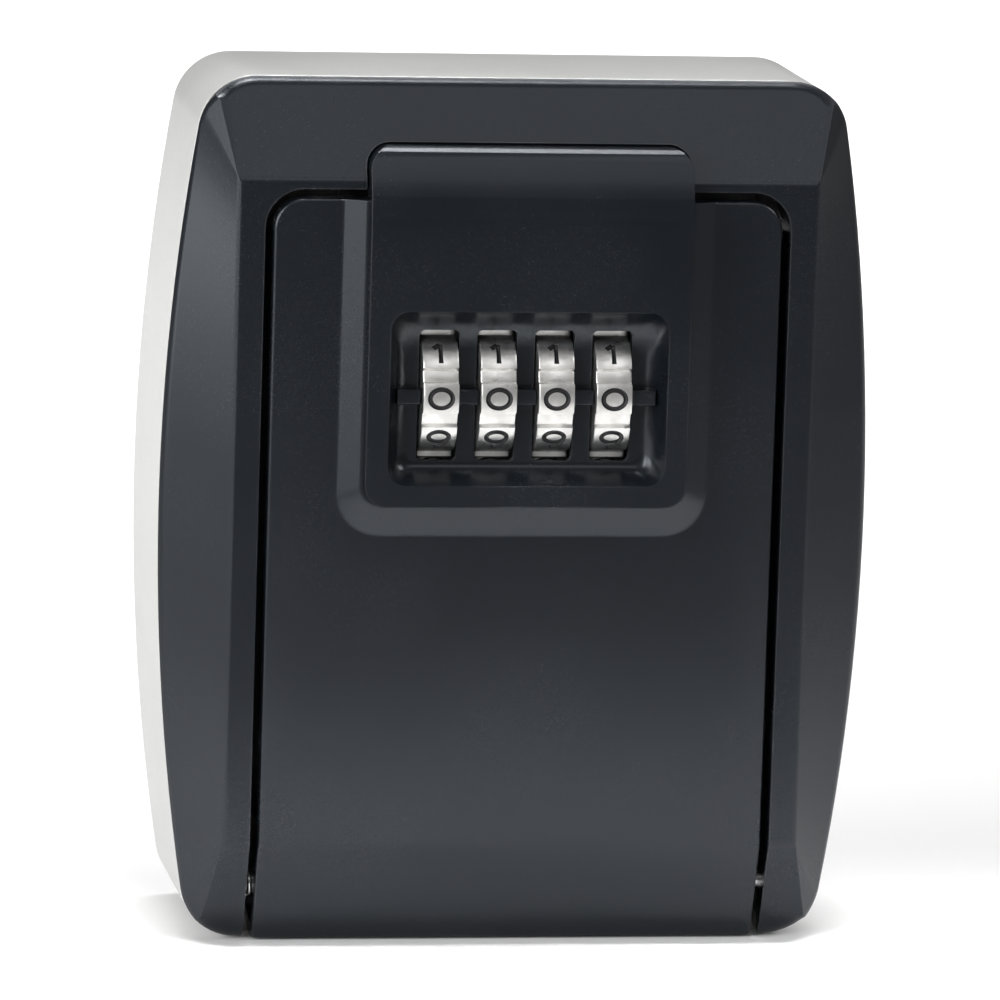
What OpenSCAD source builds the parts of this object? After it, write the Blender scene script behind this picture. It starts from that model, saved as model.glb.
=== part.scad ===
// Wall-mounted key lock box with a drop-down door and a four-wheel combination lock.
// The wall is the plane Y = 0 and the box stands out of it towards -Y; +Z is up and +X is right.
// The origin is the centre of the back face. "Depth" below means the distance out from the wall.

/* [Case] */
// Overall height
body_h = 120; // [118:0.5:124]
// Overall width, at mid height where the sides bulge most
body_w = 98.8; // [98:0.2:102]
// Radius of the bulging sides
side_r = 330; // [300:5:400]
// Radius of the four corners of the outline
corner_r = 8; // [7:0.5:9]
// Depth of the rear case
case_d = 29; // [28.5:0.1:29.5]
// Wall of the rear case
case_wall = 2.4; // [2:0.1:2.5]
// Distance between the wall-screw holes, across
screw_dx = 48; // [40:1:56]
// Distance between the wall-screw holes, up and down
screw_dz = 72; // [60:1:76]
// Diameter of the wall-screw holes
screw_hole_d = 5.5; // [4:0.5:6]

/* [Front frame] */
// Depth of the flat front face
face_d = 36; // [35.8:0.1:36.2]
// Half width of the flat front face
face_x = 40; // [39.5:0.1:40.5]
// Height of the flat face's top edge above the centre
face_top = 46.4; // [46:0.1:46.6]
// Depth of the edge where the sloped borders start
rim_d = 30.8; // [30.5:0.1:31]
// Thickness of the frame
frame_t = 2.4; // [2:0.1:2.6]

/* [Door] */
// Half width of the opening in the frame
open_x = 36.4; // [36.2:0.1:36.6]
// Gap round the door
door_gap = 1.15; // [0.9:0.05:1.3]
// Thickness of the door
door_t = 2.2; // [2:0.1:2.3]
// Height of the door's top edge above the centre
door_top = 44.1; // [43.8:0.1:44.2]
// Depth of the hinge pin's axis
pin_d = 29.5; // [29.3:0.1:29.7]
// Radius of the hinge pin
pin_r = 1.25; // [1:0.05:1.3]

/* [Lock face] */
// Half width of the lock face
tab_x = 22.3; // [22:0.1:22.5]
// Height of its top edge above the centre
tab_top = 51.3; // [51:0.1:51.5]
// Depth of its front
tab_d = 39.5; // [39.4:0.1:39.6]

/* [Combination wheels] */
// Distance between wheels
wheel_pitch = 8; // [7.9:0.1:8]
// Outer radius of a number wheel
wheel_r = 10.2; // [10:0.1:10.2]
// Width of a number wheel
wheel_w = 5; // [4.8:0.1:5]
// Depth of the wheels' axis
axis_d = 28.9; // [28.8:0.1:29]
// Height of the wheels' axis above the centre
axis_z = 17; // [16.9:0.1:17.1]

/* [Hidden] */
$fn = 48;
eps = 0.01;

half_h = body_h / 2;
half_w = body_w / 2;
back_t = 2.6;
face_bottom = -46;

// The frame is held to the case by four screws from the back
column_x = 41.3;
column_z = 40;
column_r = 3.5;
column_d = 26.4;
frame_screw_r = 1.5;

// The hinge: everything on the door below the pin stays inside this radius, so that it can swing in
pin_z = -52.4;
hem_r = half_h + pin_z;
hem_t = 1.8;
swing_r = hem_r + 0.5;
lug_r = 3;
lug_t = 4.2;
knuckle_r = 2.5;
pin_bore_r = pin_r + 0.05;

open_top = door_top + 1.2;
door_x = open_x - door_gap;
door_in = face_d - door_t;

// The raised bevel round the lock face
boss_d = 37.6;
boss_x = 25.8;
boss_z = -2.4;
boss_in = 22.6;
window_x = 20.9;
window_z0 = 4.2;
window_z1 = 41.6;

tab_z0 = 3;
tab_r = 3;
lip_z = 43.5;
recess_x = 18.9;
recess_z0 = 4.5;
recess_z1 = 28.7;
recess_d = 35.6;
floor_t = 1.1;
slot_w = wheel_w + 0.5;
slot_h = 18.2;
index_d = 38.4;
index_h = 1.7;

// Combination parts
shaft_r = 1.5;
hub_r = 2.7;
wheel_bore_r = 2.77;
key_r = 3.7;
notch_r = 3.9;
cup_r = 5.3;
cup_in_r = 4.3;
cup_x0 = 2.7;
cup_x1 = 4.2;
cup_web = 0.5;
gate_w = 3.4;
tooth_w = 2.8;
tooth_top_r = 5.5;
tooth_h = 1.1;
arm_x0 = 4.5;
arm_t = 0.75;

// Lock module behind the door
module_x = 23.4;
module_wall = 2.2;
module_z0 = 1;
module_z1 = 43.2;
module_back = 15.8;
module_front = 31.8;
cover_t = 1.5;
flange_x = 24.5;
cheek_x = 18;
post_x = 19.2;
post_z = [6, 39.2];
post_r = 2.2;
lock_screw_r = 1;

latch_d0 = 16.1;
latch_d1 = 17.6;
latch_x = 9;
latch_top = 44.2;
ear_x = 14.5;
ear_z = 34;
ledge_z = 24.3;
spring_x = 12.2;

keeper_d = 18;
keeper_t = 1.5;
keeper_x = 13;
keeper_z = 44.8;
keeper_top = 51;
keeper_screw_x = 9;
keeper_screw_d = 11;

// Wheel centres from left to right
wheel_xs = [for (i = [0 : 3]) (i - 1.5) * wheel_pitch];

// One quarter of the bulging outline, set in by d: the corner's arc, then the side's arc down to mid height
function quarter(d) =
    let (cz = half_h - corner_r,
        sx = half_w - side_r,
        cx = sx + sqrt(pow(side_r - corner_r, 2) - cz * cz),
        a = atan2(cz, cx - sx))
    concat(
        [for (i = [0 : 8]) let (t = 90 - (90 - a) * i / 8)
            [cx + (corner_r - d) * cos(t), cz + (corner_r - d) * sin(t)]],
        [for (i = [1 : 8]) let (t = a * (1 - i / 8))
            [sx + (side_r - d) * cos(t), (side_r - d) * sin(t)]]);

function reversed(p) = [for (i = [len(p) - 1 : -1 : 0]) p[i]];

// The whole outline, set in by d
module outline(d = 0) {
    q = quarter(d);
    lower = [for (p = reversed(q)) if (p[1] > eps) [p[0], -p[1]]];
    left = [for (p = concat(q, lower)) [-p[0], p[1]]];
    polygon(concat(q, lower, reversed(left)));
}

// A flat shape drawn in X and Z, as a slab from depth d0 to depth d1
module slab(d0, d1) {
    rotate([90, 0, 0]) translate([0, 0, d0]) linear_extrude(d1 - d0) children();
}

// A block given by its limits across, in depth and in height
module block(x0, x1, d0, d1, z0, z1) {
    translate([x0, -d1, z0]) cube([x1 - x0, d1 - d0, z1 - z0]);
}

// A rod along X, centred at a depth and height
module rod_x(x0, x1, d, z, r) {
    translate([x0, -d, z]) rotate([0, 90, 0]) cylinder(h = x1 - x0, r = r);
}

// A rod in the depth direction
module rod_y(d0, d1, x, z, r) {
    translate([x, -d0, z]) rotate([90, 0, 0]) cylinder(h = d1 - d0, r = r);
}

// A shape drawn in depth and Z, as a bar along X
module bar_x(x0, x1) {
    translate([x0, 0, 0]) rotate([90, 0, 90]) linear_extrude(x1 - x0) mirror([1, 0]) children();
}

// A rectangle in X and Z with rounded top corners, and rounded lower ones if rb is given
module rounded(x, z0, z1, r, rb = 0) {
    difference() {
        translate([-x, z0]) square([2 * x, z1 - z0]);
        for (s = [-1, 1]) {
            corner_cut(s * x, z1, s, 1, r);
            if (rb > 0) corner_cut(s * x, z0, s, -1, rb);
        }
    }
}

// What rounding a corner takes away
module corner_cut(x, z, sx, sz, r) {
    translate([x, z]) difference() {
        translate([sx > 0 ? -r : -1, sz > 0 ? -r : -1]) square(r + 1);
        translate([-sx * r, -sz * r]) circle(r);
    }
}

// The four screws between frame and case, and the four wall screws
module at_columns() {
    for (x = [-column_x, column_x], z = [-column_z, column_z]) translate([x, 0, z]) children();
}

module at_wall_screws() {
    for (x = [-screw_dx, screw_dx] / 2, z = [-screw_dz, screw_dz] / 2) translate([x, 0, z]) children();
}

// Grey die-cast shell that is screwed to the wall
module rear_case() {
    color("silver") difference() {
        union() {
            difference() {
                slab(0, case_d) outline();
                slab(back_t, case_d + 1) outline(case_wall);
            }
            at_columns() rod_y(eps, column_d, 0, 0, column_r);
            for (x = [-1, 1] * keeper_screw_x)
                translate([x, -keeper_screw_d, keeper_top + keeper_t])
                    cylinder(h = half_h - keeper_top - keeper_t - 1, r = 3);
        }
        at_columns() rod_y(-1, column_d + 1, 0, 0, frame_screw_r + 0.1);
        at_columns() rod_y(-1, 2.1, 0, 0, 3);
        at_wall_screws() rod_y(-1, back_t + 1, 0, 0, screw_hole_d / 2);
        for (x = [-1, 1] * keeper_screw_x)
            translate([x, -keeper_screw_d, keeper_top]) cylinder(h = 6.5, r = 1.3);
        rod_x(-open_x - 0.2, open_x + 0.2, pin_d, pin_z, swing_r);
    }
}

// The frame's outside: bulging rim, four slopes and the flat face, set in by d
module frame_form(d) {
    hull() {
        slab(case_d - 3, rim_d - 0.9 - d * 0.4) outline(d);
        slab(rim_d - 0.3 - d * 0.4, rim_d - d * 0.4) outline(d + 0.8);
        block(-face_x, face_x, 20, face_d - d, face_bottom, face_top);
    }
}

// The room for what stands inside the frame, clear of the case's walls
module inside_frame() {
    difference() {
        frame_form(1);
        block(-60, 60, 0, case_d, -70, 70);
    }
    slab(case_d - 3, case_d + eps) outline(case_wall + 0.15);
}

// Black die-cast border round the door
module front_frame() {
    color("#26282b") difference() {
        union() {
            difference() {
                frame_form(0);
                frame_form(frame_t);
                block(-60, 60, 0, case_d, -70, 70);
            }
            // lip that sits inside the case
            difference() {
                slab(case_d - 2.4, case_d + 1) outline(case_wall + 0.15);
                slab(case_d - 3, case_d + 2) outline(case_wall + 1.6);
                block(-39, 39, 20, 32, -62, -40);
            }
            intersection() {
                inside_frame();
                union() {
                    for (s = [-1, 1]) {
                        translate([s > 0 ? open_x : -open_x - 1.8, 0, 0])
                            block(0, 1.8, case_d - 1.5, 40, -half_h + 0.6, open_top + 1);
                        translate([s > 0 ? open_x : -open_x - lug_t, 0, 0])
                            block(0, lug_t, pin_d, 40, pin_z - lug_r, pin_z + lug_r);
                    }
                    at_columns() rod_y(column_d, 40, 0, 0, column_r);
                    block(-tab_x - 3, tab_x + 3, 30.8, 36, open_top, tab_top + 2.5);
                }
            }
            for (s = [-1, 1])
                translate([s > 0 ? 0 : -2 * open_x - lug_t, 0, 0])
                    rod_x(open_x, open_x + lug_t, pin_d, pin_z, lug_r);
        }
        slab(20, 50) rounded(open_x, -half_h - 5, open_top, 5.3);
        // pocket in the top slope for the lock face's lip
        bar_x(-tab_x - 0.5, tab_x + 0.5)
            polygon([[34.4, 40], [34.4, face_top], [32.2, tab_top + 0.5], [45, tab_top + 0.5], [45, 40]]);
        rod_x(-open_x - lug_t - 1, open_x + lug_t + 1, pin_d, pin_z, pin_bore_r);
        at_columns() rod_y(column_d - 1, 31.2, 0, 0, frame_screw_r + 0.05);
    }
}

// Steel strike under the case's top wall, which the latch bar rises behind
module keeper_plate() {
    color("gainsboro") difference() {
        union() {
            block(-keeper_x, keeper_x, keeper_d, keeper_d + keeper_t, keeper_z, keeper_top + keeper_t);
            block(-keeper_x, keeper_x, 6.5, keeper_d + keeper_t, keeper_top, keeper_top + keeper_t);
        }
        for (x = [-1, 1] * keeper_screw_x)
            translate([x, -keeper_screw_d, keeper_top - 1]) cylinder(h = keeper_t + 2, r = 1.4);
    }
}

module keeper_screws() {
    color("gray") for (x = [-1, 1] * keeper_screw_x) translate([x, -keeper_screw_d, 0]) {
        translate([0, 0, keeper_top - 1.4]) cylinder(h = 1.4, r = 2.3);
        translate([0, 0, keeper_top - eps]) cylinder(h = 6, r = 1.25);
    }
}

module frame_screws() {
    color("gray") at_columns() {
        rod_y(0.3, 2.1, 0, 0, 2.7);
        rod_y(2, 30.5, 0, 0, frame_screw_r);
    }
}

module hinge_pin() {
    color("gainsboro") rod_x(-open_x - lug_t + 0.2, open_x + lug_t - 0.2, pin_d, pin_z, pin_r);
}

// Torsion spring round the left end of the pin, pushing the door open by its leg
module door_spring() {
    wire = 0.25;
    coil_r = 1.85;
    color("gainsboro") {
        for (i = [0 : 5]) translate([-open_x + 0.32 + i * 0.46, -pin_d, pin_z])
            rotate([0, 90, 0]) rotate_extrude() translate([coil_r, 0]) circle(wire);
        translate([-open_x + 0.32 + 5 * 0.46, -pin_d + coil_r, pin_z]) cylinder(h = 6, r = wire);
    }
}

// The door: a plate that slopes back at its foot, with a hem below the hinge
module door_panel() {
    color("#222427") difference() {
        union() {
            intersection() {
                bar_x(-door_x, door_x) polygon([
                    [door_in, door_top + 1], [face_d, door_top + 1], [face_d, face_bottom],
                    [31.2, -half_h + 0.3], [30.9, -half_h], [pin_d, -half_h], [pin_d, -half_h + hem_t],
                    [31.2 - 1.6, -half_h + hem_t + 0.2], [door_in, face_bottom - 0.4]]);
                slab(20, 50) rounded(door_x, -half_h - 1, door_top, 4.2);
            }
            // raised bevel
            intersection() {
                hull() {
                    slab(face_d - 1, face_d) rounded(boss_x, boss_z, 60, 1, 5.5);
                    slab(boss_d - 0.1, boss_d) rounded(boss_in, tab_z0 - 0.4, 60, 1, 3);
                }
                block(-40, 40, 30, 50, -10, door_top);
            }
            for (s = [-1, 1])
                translate([s > 0 ? door_x - 1.9 : -door_x, 0, 0])
                    block(0, 1.9, 27, door_in + 0.5, -43, 39);
            knuckles();
            hem();
        }
        slab(20, 50) rounded(window_x, window_z0, window_z1, 1, 1);
        rod_x(-door_x - 1, door_x + 1, pin_d, pin_z, pin_bore_r);
        rod_x(-door_x - 1, -33, pin_d, pin_z, 2.5);
    }
}

module knuckles() {
    for (x = [-33, 25]) {
        rod_x(x, x + 8, pin_d, pin_z, knuckle_r);
        block(x, x + 8, pin_d, 32.5, pin_z - 1.6, pin_z + 2.2);
    }
}

// Hem round the hinge's axis that closes the gap to the case when the door is shut
module hem() {
    intersection() {
        difference() {
            rod_x(-door_x, door_x, pin_d, pin_z, hem_r);
            rod_x(-door_x - 1, door_x + 1, pin_d, pin_z, hem_r - hem_t);
        }
        bar_x(-door_x, door_x) polygon([[pin_d, pin_z], [pin_d + 0.5, pin_z], [pin_d + 0.5, -half_h - 1],
            [pin_d - 8.5, -half_h - 1], [pin_d - 8.5, pin_z - 8.5]]);
    }
}

// The tab: lock face with the dial recess and the lip that is pulled to open the door
module lock_face() {
    color("#1d1f22") difference() {
        union() {
            intersection() {
                bar_x(-tab_x, tab_x) polygon([
                    [boss_d, tab_z0], [tab_d - 0.4, tab_z0], [tab_d, tab_z0 + 0.5], [tab_d, lip_z],
                    [37.1, tab_top - 1.4], [36.4, tab_top - 0.3], [35.6, tab_top], [33, tab_top],
                    [34.8, face_top + 0.1], [34.8, door_top + 0.3], [boss_d, door_top + 0.3]]);
                slab(20, 50) rounded(tab_x, tab_z0, tab_top, tab_r, tab_r);
            }
            difference() {
                slab(32, boss_d + 0.5) rounded(window_x - 0.3, window_z0 + 0.3, window_z1 - 0.3, 1, 1);
                slab(30, boss_d) rounded(window_x - 1.5, 30, window_z1 - 1.5, 1, 1);
                slab(30, recess_d - floor_t) rounded(window_x - 1.5, window_z0 + 1.5, 30.1, 0.5, 1);
            }
            for (x = [-1, 1] * post_x, z = post_z) rod_y(32, boss_d + 0.5, x, z, 1.4);
        }
        difference() {
            hull() {
                slab(tab_d, tab_d + 0.5) rounded(recess_x, recess_z0, recess_z1, 1.5, 1.5);
                slab(recess_d, recess_d + 0.1) rounded(recess_x - 2, recess_z0 + 2.2, recess_z1 - 2.4, 1.5, 1.5);
            }
            block(-recess_x, recess_x, 30, index_d, axis_z - index_h / 2, axis_z + index_h / 2);
        }
        for (x = wheel_xs)
            block(x - slot_w / 2, x + slot_w / 2, 30, 45, axis_z - slot_h / 2, axis_z + slot_h / 2);
        for (x = [-1, 1] * post_x, z = post_z) rod_y(30, 35.6, x, z, lock_screw_r + 0.05);
    }
}

// Die-cast box behind the door that carries the shaft, the latch bar and the springs
module lock_housing() {
    color("dimgray") difference() {
        union() {
            difference() {
                block(-module_x, module_x, module_back, module_front + 0.5, module_z0, module_z1);
                block(-module_x + module_wall, module_x - module_wall, 10, 40, module_z0 + 2, module_z1 - 1.8);
            }
            difference() {
                block(-flange_x, flange_x, module_front, door_in, module_z0, module_z1);
                block(-window_x, window_x, 30, 40, window_z0, window_z1);
            }
            for (x = [-1, 1] * post_x, z = post_z) rod_y(module_back, module_front, x, z, post_r);
            for (s = [-1, 1]) {
                translate([s > 0 ? cheek_x : -module_x + 1, 0, 0])
                    block(0, module_x - cheek_x - 1, module_back + 3, module_front, 10, ledge_z);
                translate([s > 0 ? 10.2 : -module_x + 1, 0, 0])
                    block(0, module_x - 11.2, module_back, 18.6, 22, ledge_z);
            }
        }
        block(-latch_x - 0.4, latch_x + 0.4, 10, latch_d1 + 0.4, 38, 50);
        rod_x(-module_x + 0.6, module_x - 0.6, axis_d, axis_z, shaft_r + 0.05);
        for (x = [-1, 1] * post_x, z = post_z) rod_y(10, 40, x, z, lock_screw_r + 0.1);
    }
}

module lock_cover() {
    color("silver") difference() {
        block(-module_x, module_x, module_back - cover_t, module_back, module_z0, module_z1);
        for (x = [-1, 1] * post_x, z = post_z) rod_y(10, 20, x, z, lock_screw_r + 0.15);
        block(14.9, 17.9, 10, 20, 13.9, 21.8);
    }
}

module lock_screws() {
    color("gray") for (x = [-1, 1] * post_x, z = post_z) {
        rod_y(module_back - cover_t - 1.1, module_back - cover_t, x, z, 1.8);
        rod_y(module_back - cover_t - eps, 35, x, z, lock_screw_r);
    }
}

module wheel_shaft() {
    color("gainsboro") rod_x(-module_x + 0.8, module_x - 0.8, axis_d, axis_z, shaft_r);
}

// Plated wheel with ten flutes outside and ten notches in its bore for the cam's key
module number_wheel(x) {
    color("whitesmoke") translate([x, -axis_d, axis_z]) rotate([0, 90, 0]) difference() {
        translate([0, 0, -wheel_w / 2]) cylinder(h = wheel_w, r = wheel_r);
        translate([0, 0, -wheel_w]) cylinder(h = 2 * wheel_w, r = wheel_bore_r);
        translate([0, 0, 0.9]) cylinder(h = wheel_w, r = cup_r + 0.3);
        translate([0, 0, -wheel_w / 2 - 1]) cylinder(h = wheel_w / 2 + 0.1, r = notch_r);
        for (i = [0 : 9]) rotate([0, 0, 36 * i]) {
            translate([wheel_bore_r - 0.5, -0.6, -1]) cube([notch_r - wheel_bore_r + 0.5, 1.2, 3]);
            rotate([0, 0, 18]) translate([wheel_r + 0.35, 0, -wheel_w]) cylinder(h = 2 * wheel_w, r = 0.9);
        }
    }
}

// Cam on the shaft: a hub with a key, and a cup whose rim has one gate at the bottom
module gate_cam(x) {
    color("darkkhaki") translate([x, -axis_d, axis_z]) rotate([0, 90, 0]) difference() {
        union() {
            translate([0, 0, -3.6]) cylinder(h = 3.6 + cup_x1, r = hub_r);
            translate([hub_r - 0.5, -0.5, -0.8]) cube([key_r - hub_r + 0.5, 1, 1]);
            translate([0, 0, cup_x0]) difference() {
                cylinder(h = cup_x1 - cup_x0, r = cup_r);
                translate([0, 0, cup_web]) cylinder(h = 5, r = cup_in_r);
            }
        }
        translate([0, 0, -5]) cylinder(h = 12, r = shaft_r + 0.05);
        translate([cup_in_r - 0.6, -gate_w / 2, cup_x0 - 1]) cube([4, gate_w, 4]);
    }
}

// Leaf spring with one finger under each wheel
module detent_spring() {
    color("gainsboro") {
        block(-14, 14, 19.5, 22, module_z0 + 2, module_z0 + 2.5);
        for (x = wheel_xs) bar_x(x - 1.6, x + 1.6) polygon([[21.9, 3], [21.9, 3.5], [28.2, 6.4], [29.6, 6.4],
            [31, 5], [30.7, 4.6], [29.4, 5.9], [28.4, 5.9], [22.1, 3]]);
    }
}

module wave_spring() {
    color("gainsboro") difference() {
        rod_x(-cheek_x, -cheek_x + 0.9, axis_d, axis_z, 3);
        rod_x(-cheek_x - 1, -cheek_x + 2, axis_d, axis_z, shaft_r + 0.2);
    }
}

// Latch bar: a plate behind the wheels with a bevelled nose, and a comb of toothed arms below them
module latch_bar() {
    z0 = axis_z - tooth_top_r - tooth_h;
    color("lightsteelblue") union() {
        bar_x(-latch_x, latch_x) polygon([[latch_d0, 5], [latch_d1, 5], [latch_d1, latch_top - 0.7],
            [latch_d1 - 0.6, latch_top], [latch_d0 + 0.6, latch_top], [latch_d0, latch_top - 0.7]]);
        block(-ear_x, ear_x, latch_d0, latch_d1, ear_z, ear_z + 2.2);
        block(wheel_xs[0] + arm_x0, wheel_xs[3] + arm_x0 + arm_t, latch_d0, latch_d1, z0 - 3, z0 + tooth_h);
        for (x = wheel_xs) {
            block(x + arm_x0, x + arm_x0 + arm_t, latch_d0, axis_d + tooth_w / 2, z0 - 2, z0 + tooth_h);
            block(x + cup_x0 + cup_web + 0.25, x + arm_x0 + 0.2,
                axis_d - tooth_w / 2, axis_d + tooth_w / 2, z0, z0 + tooth_h);
        }
    }
}

// Two small coil springs that push the latch bar up
module latch_springs() {
    color("gainsboro") for (x = [-1, 1] * spring_x, i = [0 : 10])
        translate([x, -(latch_d0 + latch_d1) / 2, ledge_z + 0.22 + i * 0.92])
            rotate_extrude() translate([0.85, 0]) circle(0.2);
}

// Lever on the back of the cover whose fork shifts the cams out of the wheels
module reset_lever() {
    d0 = module_back - cover_t - 0.2;
    color("firebrick") difference() {
        union() {
            block(12.4, 20, d0 - 1.6, d0, 11, 22.6);
            block(15.4, 17.6, d0 - 3.6, d0 - 1, 12.5, 21.1);
            block(16.4, 17.5, d0 - 1, axis_d + 2, 14.3, 21.4);
        }
        rod_x(10, 20, axis_d, axis_z, shaft_r + 0.2);
        block(15, 18.5, axis_d, axis_d + 5, axis_z - shaft_r - 0.2, axis_z + shaft_r + 0.2);
    }
}

rear_case();
front_frame();
keeper_plate();
keeper_screws();
frame_screws();
hinge_pin();
door_spring();
door_panel();
lock_face();
lock_housing();
lock_cover();
lock_screws();
wheel_shaft();
number_wheel(wheel_xs[0]);  // number_wheel_1
number_wheel(wheel_xs[1]);  // number_wheel_2
number_wheel(wheel_xs[2]);  // number_wheel_3
number_wheel(wheel_xs[3]);  // number_wheel_4
gate_cam(wheel_xs[0]);  // gate_cam_1
gate_cam(wheel_xs[1]);  // gate_cam_2
gate_cam(wheel_xs[2]);  // gate_cam_3
gate_cam(wheel_xs[3]);  // gate_cam_4
detent_spring();
wave_spring();
latch_bar();
latch_springs();
reset_lever();
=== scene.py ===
# A wall-mounted key lock box: grey case, black sloped border, drop-down door, four number wheels.
# The wall is the plane Y = 0 and the box stands out of it towards -Y; +Z is up. Lengths are in metres.
import math

import bmesh
import bpy
from mathutils import Matrix, Vector


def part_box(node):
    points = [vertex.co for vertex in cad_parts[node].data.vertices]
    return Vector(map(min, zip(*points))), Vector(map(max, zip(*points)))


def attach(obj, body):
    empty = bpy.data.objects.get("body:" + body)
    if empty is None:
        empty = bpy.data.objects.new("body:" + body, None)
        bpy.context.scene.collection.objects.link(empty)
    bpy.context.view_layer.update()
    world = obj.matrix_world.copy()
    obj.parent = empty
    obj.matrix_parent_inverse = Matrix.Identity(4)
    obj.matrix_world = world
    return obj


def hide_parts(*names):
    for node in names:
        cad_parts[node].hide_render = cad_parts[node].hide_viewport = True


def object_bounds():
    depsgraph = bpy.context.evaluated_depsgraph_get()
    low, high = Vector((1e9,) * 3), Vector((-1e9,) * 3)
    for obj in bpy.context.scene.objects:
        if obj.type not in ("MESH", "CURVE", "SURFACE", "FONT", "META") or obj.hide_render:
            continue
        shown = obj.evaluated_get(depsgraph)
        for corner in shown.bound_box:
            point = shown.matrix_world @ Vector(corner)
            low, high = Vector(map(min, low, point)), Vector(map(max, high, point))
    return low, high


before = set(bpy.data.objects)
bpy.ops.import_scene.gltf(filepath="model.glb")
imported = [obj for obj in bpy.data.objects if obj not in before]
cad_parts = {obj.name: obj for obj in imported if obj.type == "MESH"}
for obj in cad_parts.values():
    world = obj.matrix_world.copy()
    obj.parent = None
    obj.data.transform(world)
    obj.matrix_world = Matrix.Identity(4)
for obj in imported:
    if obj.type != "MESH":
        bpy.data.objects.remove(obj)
cad_low, cad_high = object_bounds()

# ---- Studio ---------------------------------------------------------------------------------
# A long-lens camera a little to the left of the box and above it, a seamless pale floor, and
# large soft lights: one over the top, one at each side, and a white room all round.
scene = bpy.context.scene
scene.view_settings.view_transform = "Standard"
mm = 0.001

yaw, pitch, roll = (math.radians(a) for a in (9.52, 9.70, 1.76))
ahead = Vector((math.sin(yaw) * math.cos(pitch), math.cos(yaw) * math.cos(pitch), -math.sin(pitch)))
level = Vector((math.cos(yaw), -math.sin(yaw), 0))
raised = level.cross(ahead)
across = level * math.cos(roll) + raised * math.sin(roll)
upward = raised * math.cos(roll) - level * math.sin(roll)
stand = Vector((-0.30, -20.0, -0.27)) * mm - ahead * 1.114
lens = bpy.data.cameras.new("camera")
lens.lens = 7.994 * 36
lens.sensor_width = 36
lens.clip_start = 0.05
camera = bpy.data.objects.new("camera", lens)
facing = Matrix((across, upward, -ahead)).transposed().to_4x4()
camera.matrix_world = Matrix.Translation(stand) @ facing
scene.collection.objects.link(camera)
scene.camera = camera

world = bpy.data.worlds.new("studio")
scene.world = world
world.use_nodes = True
world.node_tree.nodes["Background"].inputs["Color"].default_value = (1, 1, 1, 1)
world.node_tree.nodes["Background"].inputs["Strength"].default_value = 0.25


def softbox(name, place, target, wide, high, power, spread=180):
    """A rectangular light that points from place to target."""
    lamp = bpy.data.lights.new(name, "AREA")
    lamp.shape = "RECTANGLE"
    lamp.size, lamp.size_y, lamp.energy, lamp.spread = wide, high, power, math.radians(spread)
    made = bpy.data.objects.new(name, lamp)
    made.location = place
    made.rotation_euler = (Vector(target) - Vector(place)).to_track_quat("-Z", "Y").to_euler()
    scene.collection.objects.link(made)


softbox("light_floor", (0, 0.8, 1.1), (0, 0.8, 0), 2.0, 1.2, 13, 78)
softbox("light_top", (0, -0.08, 0.42), (0, -0.085, -0.06), 0.36, 0.06, 0.18, 24)
softbox("light_right", (0.85, -0.25, 0.62), (0, 0, 0), 0.3, 0.3, 0.25, 50)
softbox("light_strip", (-0.48, -0.56, 0.22), (0, 0, 0), 0.10, 0.60, 0.36, 60)
softbox("light_left", (-0.93, -0.45, 0.20), (0, 0, 0), 0.5, 0.8, 1.35, 70)
softbox("light_front", (0.2, -0.95, 0.78), (0, 0, 0), 0.9, 0.4, 0.22, 70)

bpy.ops.object.select_all(action="DESELECT")
bpy.ops.mesh.primitive_circle_add(vertices=96, radius=6, fill_type="NGON", location=(0, 0, cad_low.z - 0.4 * mm))
floor = bpy.context.object
floor.name = "floor"
bpy.ops.object.transform_apply()
paper = bpy.data.materials.new("floor_paper")
paper.use_nodes = True
paper.node_tree.nodes["Principled BSDF"].inputs["Base Color"].default_value = (0.9, 0.9, 0.9, 1)
paper.node_tree.nodes["Principled BSDF"].inputs["Roughness"].default_value = 0.9
floor.data.materials.append(paper)

# ---- Rear case ------------------------------------------------------------------------------
# A deep die-cast tray, painted light silver grey. Its sides bulge, and its back has four holes
# for the wall screws and four deep counterbores for the screws that hold the front border.
case_low, case_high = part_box("rear_case")
case_wide, case_top, case_deep = case_high.x, case_high.z, -case_low.y
case_bulge = 330 * mm
case_corner = 8 * mm
case_wall = 2.4 * mm
case_floor = 2.6 * mm
columns = [(x, z) for x in (-41.3 * mm, 41.3 * mm) for z in (-40 * mm, 40 * mm)]
wall_holes = [(x, z) for x in (-24 * mm, 24 * mm) for z in (-36 * mm, 36 * mm)]
pin_low, pin_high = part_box("hinge_pin")
pin_at = (pin_low + pin_high) / 2


def outline(inset):
    """The case's outline, anticlockwise from mid height on the right, set in all round."""
    lift = case_top - case_corner
    lean = case_wide - case_bulge
    over = lean + math.sqrt((case_bulge - case_corner) ** 2 - lift ** 2)
    swing = math.atan2(lift, over - lean)
    side = [swing * i / 12 for i in range(12)]
    bend = [swing + (math.pi / 2 - swing) * i / 12 for i in range(13)]
    right = [(lean + (case_bulge - inset) * math.cos(t), (case_bulge - inset) * math.sin(t)) for t in side]
    right += [(over + (case_corner - inset) * math.cos(t), lift + (case_corner - inset) * math.sin(t)) for t in bend]
    left = [(-x, z) for x, z in reversed(right)]
    return right + left + [(-x, -z) for x, z in right[1:]] + [(x, -z) for x, z in reversed(right[1:])]


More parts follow.
